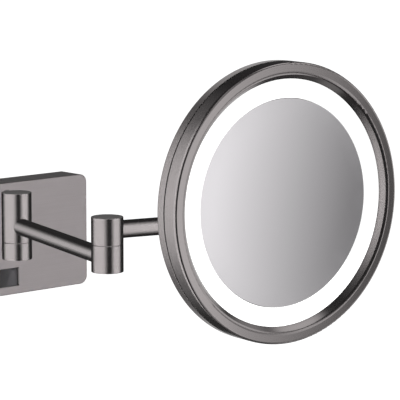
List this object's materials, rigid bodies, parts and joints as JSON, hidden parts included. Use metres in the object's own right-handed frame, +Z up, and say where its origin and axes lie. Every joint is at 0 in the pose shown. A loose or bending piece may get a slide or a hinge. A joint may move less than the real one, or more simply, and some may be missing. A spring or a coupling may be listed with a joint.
{
  "type": "extendable lit shaving mirror",
  "caption": "Round wall mirror with a lit ring, on a double swing arm with tilt, fixed to a wide wall plate with a rocker switch.",
  "frame": {"origin": "middle of the wall plate's back face, on the wall", "axes": "+X right as seen from the room, -Y out of the wall towards the user, +Z up"},
  "size_m": [0.2468, 0.3222, 0.217],
  "materials": {
    "black_chrome_steel": "brushed black chrome plating",
    "black_chrome_aluminium": "brushed black chrome plating",
    "zinc_steel": "zinc-plated steel",
    "pivot_steel": "turned stainless steel",
    "acetal": "moulded acetal",
    "switch_black": "moulded black plastic",
    "rocker_grey": "satin dark grey plastic",
    "driver_white": "moulded white plastic",
    "terminal_nylon": "natural nylon",
    "terminal_brass": "bright brass",
    "black_rubber": "soft rubber",
    "lead_sheath": "PVC insulation",
    "carrier_white": "white reflector plastic",
    "mirror_silver": "silvered hollow-ground glass",
    "opal_acrylic": "opal acrylic, lit from behind",
    "board_white": "white solder-masked circuit board",
    "led_phosphor": "light-emitting diode phosphor"
  },
  "bodies": {
    "wall_unit": {"wall_bracket": "zinc_steel", "wall_cover": "black_chrome_aluminium", "cover_screws": "zinc_steel", "cable_grommet": "black_rubber", "led_driver": "driver_white", "driver_screws": "zinc_steel", "terminal_block": "terminal_nylon", "terminal_screws": "terminal_brass", "inner_wires": "lead_sheath", "switch_housing": "switch_black", "post_stub": "black_chrome_steel", "stub_screws": "zinc_steel", "wall_lead": "lead_sheath", "post_base": "black_chrome_steel", "post_base_cap": "black_chrome_steel", "post_bolt": "pivot_steel", "post_spring": "pivot_steel", "post_nut": "pivot_steel"},
    "switch": {"switch_rocker": "rocker_grey"},
    "first_arm": {"post_sleeve": "black_chrome_steel", "post_top_cap": "black_chrome_steel", "post_bush": "acetal", "rear_arm_tube": "black_chrome_steel", "rear_arm_lead": "lead_sheath", "elbow_lower": "black_chrome_steel", "elbow_bottom_cap": "black_chrome_steel", "elbow_bolt": "pivot_steel", "elbow_spring": "pivot_steel", "elbow_nut": "pivot_steel"},
    "second_arm": {"elbow_upper": "black_chrome_steel", "elbow_top_cap": "black_chrome_steel", "elbow_bush": "acetal", "front_arm_tube": "black_chrome_steel", "front_arm_lead": "lead_sheath", "head_lower": "black_chrome_steel", "head_bottom_cap": "black_chrome_steel", "head_bolt": "pivot_steel", "head_spring": "pivot_steel", "head_nut": "pivot_steel"},
    "head_yoke": {"head_upper": "black_chrome_steel", "head_top_cap": "black_chrome_steel", "head_bush": "acetal", "head_stub": "black_chrome_steel", "tilt_barrel": "black_chrome_steel", "tilt_bushes": "acetal", "yoke_lead": "lead_sheath"},
    "mirror_head": {"rim_front": "black_chrome_aluminium", "rear_shell": "black_chrome_aluminium", "glass_carrier": "carrier_white", "carrier_screws": "zinc_steel", "mirror_glass": "mirror_silver", "glass_pad": "black_rubber", "light_diffuser": "opal_acrylic", "led_board": "board_white", "leds": "led_phosphor", "hinge_bracket": "black_chrome_steel", "hinge_screws": "zinc_steel", "tilt_screws": "zinc_steel", "tilt_washers": "acetal", "head_lead": "lead_sheath"}
  },
  "joints": [
    {"name": "switch_rock", "type": "hinge", "parent": "wall_unit", "child": "switch", "pos_m": [0, -0.0216, -0.0328], "axis": [0, 0, -1], "range_deg": [0, 8]},
    {"name": "post_swivel", "type": "hinge", "parent": "wall_unit", "child": "first_arm", "pos_m": [0, -0.0396, -0.0001], "axis": [0, 0, 1], "range_deg": [-60, 90]},
    {"name": "elbow_swivel", "type": "hinge", "parent": "first_arm", "child": "second_arm", "pos_m": [-0.04641, -0.21279, 0.0245], "axis": [0, 0, 1], "range_deg": [-149, 15]},
    {"name": "head_swivel", "type": "hinge", "parent": "second_arm", "child": "head_yoke", "pos_m": [0.05641, -0.2413, 0.04622], "axis": [0, 0, 1], "range_deg": [-15, 94]},
    {"name": "mirror_tilt", "type": "hinge", "parent": "head_yoke", "child": "mirror_head", "pos_m": [0.05355, -0.27538, 0.05708], "axis": [0.9965, -0.0837, 0], "range_deg": [-20, 20]}
  ]
}
